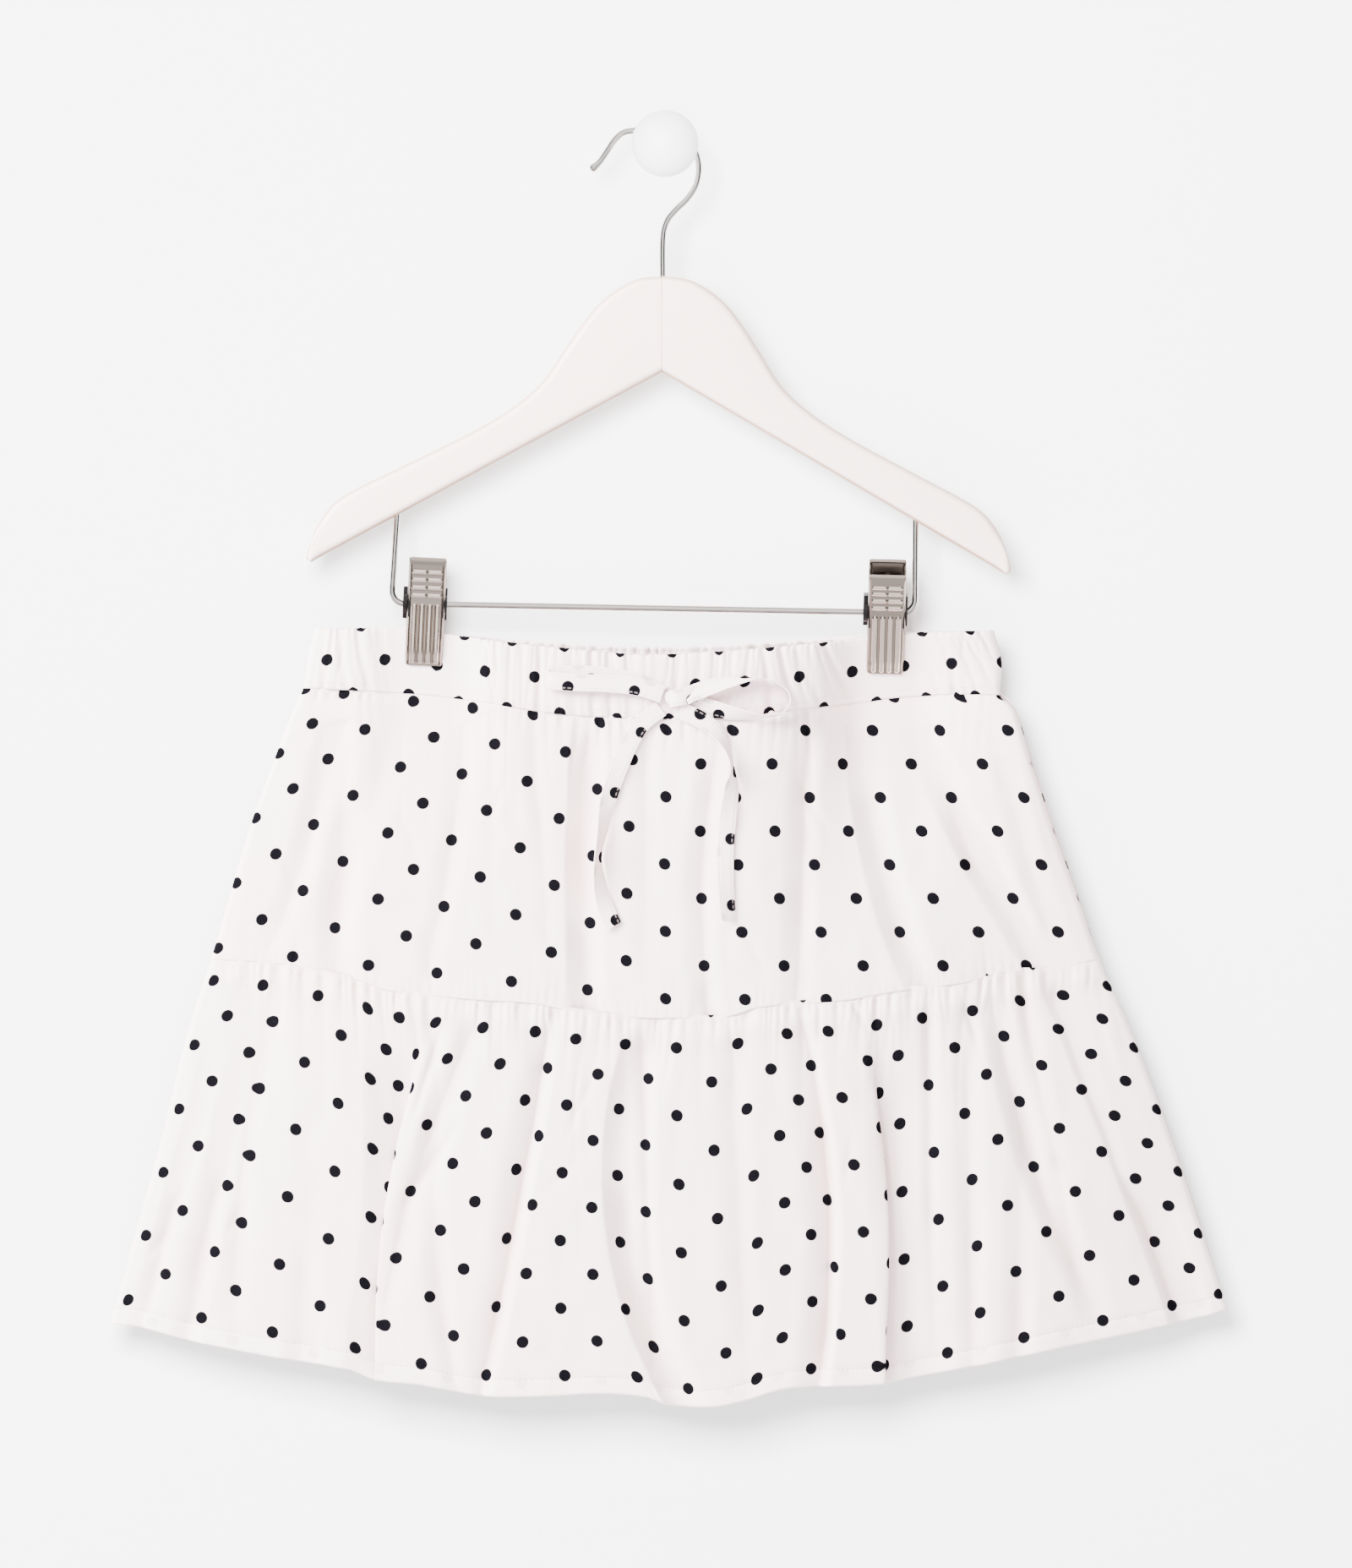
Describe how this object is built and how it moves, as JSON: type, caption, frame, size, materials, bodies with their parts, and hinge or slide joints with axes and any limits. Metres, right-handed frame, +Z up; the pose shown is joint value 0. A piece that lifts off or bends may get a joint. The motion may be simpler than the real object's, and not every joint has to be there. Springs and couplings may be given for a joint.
{
  "type": "child's two-tier skort on a wooden clip hanger, hung from a ball knob",
  "caption": "Two-tier gathered cotton skort with small dots, elastic waist and a tied bow, clipped under a wooden hanger whose wire hook hangs on a ball wall knob.",
  "frame": {"origin": "centre of the knob's flat back, where it meets the wall", "axes": "+X to the right as seen from the front, +Y into the wall, +Z up; the front of the skort faces -Y"},
  "size_m": [0.477, 0.0527, 0.547],
  "materials": {
    "dotted_cotton": "matt woven cotton, white with small near-black dots",
    "plain_cotton": "matt white knit cotton",
    "painted_wood": "satin white paint",
    "chrome_wire": "polished wire",
    "nickel": "satin nickel plate",
    "spring_steel": "dark spring wire",
    "knob_paint": "smooth white paint"
  },
  "bodies": {
    "root": {"wall_knob": "knob_paint", "hook": "chrome_wire", "bar": "chrome_wire", "hanger_arm_left": "painted_wood", "hanger_arm_right": "painted_wood", "clip_left_front": "nickel", "clip_left_back": "nickel", "clip_left_spring": "spring_steel", "clip_right_front": "nickel", "clip_right_back": "nickel", "clip_right_spring": "spring_steel", "waistband_front": "dotted_cotton", "waistband_back": "dotted_cotton", "tier_front": "dotted_cotton", "tier_back": "dotted_cotton", "flounce_front": "dotted_cotton", "flounce_back": "dotted_cotton", "tie_loop_left": "dotted_cotton", "tie_loop_right": "dotted_cotton", "tie_tail_left": "dotted_cotton", "tie_tail_right": "dotted_cotton", "tie_knot": "dotted_cotton", "shorts_left_front": "plain_cotton", "shorts_left_back": "plain_cotton", "shorts_right_front": "plain_cotton", "shorts_right_back": "plain_cotton"}
  },
  "joints": []
}
